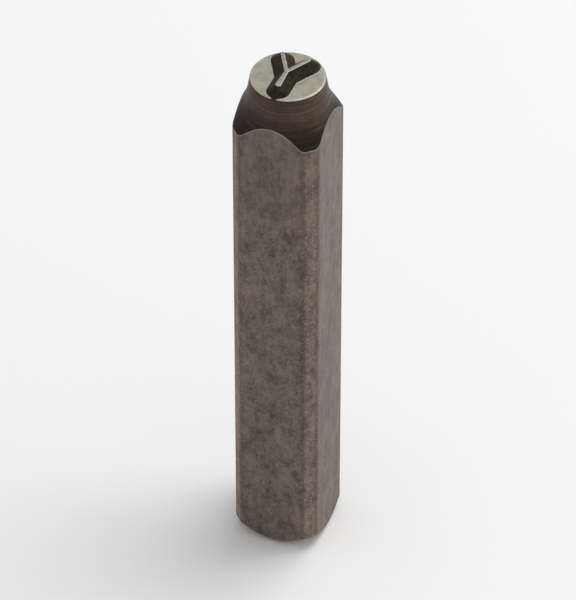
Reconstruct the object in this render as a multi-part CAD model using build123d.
"""Steel letter punch.

One bar of square tool steel with flats cut along its corners. Its upper end is
turned down to a round neck, which scallops the flats where the shoulder cone
runs out through them. The letter Y is cut in relief from the end of the neck:
a narrow ridge with flanks that slope to the flat of the face. Y reads the same
mirrored, as a punch has to be. The lower end is the one that is struck, turned
to a cone round a flat.

The origin is the centre of the struck end, on which the punch stands. +Z runs
along the bar to the letter, and the letter stands upright towards +Y. The
bar's flats face -X, +X, -Y and +Y.
"""

import os
from math import atan2, degrees, radians, tan

from build123d import *

# Bar, in millimetres
PUNCH_LENGTH = 65.0  # struck end to the flat of the letter face
BAR_WIDTH = 10.0  # across opposite flats
CORNER_LEG = 1.3  # of the flat along each corner, measured along the bar's sides
EDGE_SOFTENING = 1.3  # radius of the bar's long edges

# Turned neck
FACE_DIAMETER = 8.1
FACE_EDGE_BREAK = 0.15
NECK_HEIGHT = 2.7  # face to the meeting of neck and shoulder, before the blend
NECK_TAPER = 9.5  # degrees from the axis
SHOULDER_SLOPE = 29.5  # degrees from the axis
SHOULDER_BLEND = 6.0  # radius between neck and shoulder

# Raised letter, with heights on the face counted from its centre
LETTER_RELIEF = 1.0  # ridge above the face
FLANK_RUN = 1.05  # breadth of a flank, from the ridge down to the face
RIDGE_WIDTH = 0.45
FOOT_HEIGHT = -2.95
FORK_HEIGHT = -0.4
ARM_END_HEIGHT = 2.2
ARM_END_OFFSET = 1.5  # either side of the stem

# Struck end
STRUCK_DIAMETER = 9.0
STRUCK_SLOPE = 45.0  # degrees from the axis

CUT_CLEARANCE = 1.0  # how far a cut runs out past the steel that it removes


def bar():
    """Square bar with a flat along each corner, and softened long edges."""
    square = Rectangle(BAR_WIDTH, BAR_WIDTH)
    section = chamfer(square.vertices(), CORNER_LEG)
    section = fillet(section.vertices(), EDGE_SOFTENING)
    return extrude(section, PUNCH_LENGTH + LETTER_RELIEF + CUT_CLEARANCE)


def turned_envelope():
    """Everything that the lathe leaves: struck cone, shoulder, blend and neck."""
    outer_radius = BAR_WIDTH / 2 * 2**0.5
    struck_radius = STRUCK_DIAMETER / 2
    struck_height = (outer_radius - struck_radius) / tan(radians(STRUCK_SLOPE))

    face_radius = FACE_DIAMETER / 2
    taper = tan(radians(NECK_TAPER))
    meeting_radius = face_radius + NECK_HEIGHT * taper
    meeting_height = PUNCH_LENGTH - NECK_HEIGHT
    shoulder_drop = (outer_radius - meeting_radius) / tan(radians(SHOULDER_SLOPE))

    blank_height = LETTER_RELIEF + CUT_CLEARANCE
    meeting = (meeting_radius, 0, meeting_height)
    outline = Polyline(
        (0, 0, 0),
        (struck_radius, 0, 0),
        (outer_radius, 0, struck_height),
        (outer_radius, 0, meeting_height - shoulder_drop),
        meeting,
        (face_radius - blank_height * taper, 0, PUNCH_LENGTH + blank_height),
        (0, 0, PUNCH_LENGTH + blank_height),
        close=True,
    )
    profile = make_face(outline)
    corner = profile.vertices().sort_by_distance(meeting)[0]
    return revolve(fillet(corner, SHOULDER_BLEND), Axis.Z)


def stroke(start, end):
    """One stroke of the letter, with its ridge from start to end on the face."""
    run = Vector(*end) - Vector(*start)
    middle = (Vector(*start) + Vector(*end)) / 2
    turn = degrees(atan2(run.Y, run.X))

    root_depth = FACE_EDGE_BREAK + CUT_CLEARANCE
    root_spread = FLANK_RUN * (LETTER_RELIEF + root_depth) / LETTER_RELIEF
    root = SlotCenterToCenter(run.length, RIDGE_WIDTH + 2 * root_spread, turn)
    ridge = SlotCenterToCenter(run.length, RIDGE_WIDTH, turn)

    root = Pos(middle.X, middle.Y, PUNCH_LENGTH - root_depth) * root
    ridge = Pos(middle.X, middle.Y, PUNCH_LENGTH + LETTER_RELIEF) * ridge
    return loft([root.face(), ridge.face()], ruled=True)


def letter():
    """The three strokes of the Y, which meet at the fork."""
    fork = (0, FORK_HEIGHT)
    stem = stroke((0, FOOT_HEIGHT + RIDGE_WIDTH / 2), fork)
    left_arm = stroke(fork, (-ARM_END_OFFSET, ARM_END_HEIGHT))
    right_arm = stroke(fork, (ARM_END_OFFSET, ARM_END_HEIGHT))
    return stem + left_arm + right_arm


def face_cut():
    """Steel cut away over the face and off its rim, letter included."""
    rim_radius = FACE_DIAMETER / 2 - FACE_EDGE_BREAK
    reach = FACE_EDGE_BREAK + CUT_CLEARANCE
    top = PUNCH_LENGTH + LETTER_RELIEF + 2 * CUT_CLEARANCE
    outline = Polyline(
        (0, 0, PUNCH_LENGTH),
        (rim_radius, 0, PUNCH_LENGTH),
        (rim_radius + reach, 0, PUNCH_LENGTH - reach),
        (rim_radius + reach, 0, top),
        (0, 0, top),
        close=True,
    )
    return revolve(make_face(outline), Axis.Z)


def punch():
    """The whole punch, as one solid."""
    blank = bar() & turned_envelope()
    return blank - (face_cut() - letter())


def main():
    os.makedirs("parts", exist_ok=True)
    body = punch()
    body.label = "punch"
    print("volume", round(body.volume, 2), "mm3 in", len(body.solids()), "solid")
    export_step(body, "parts/punch.step")


if __name__ == "__main__":
    main()
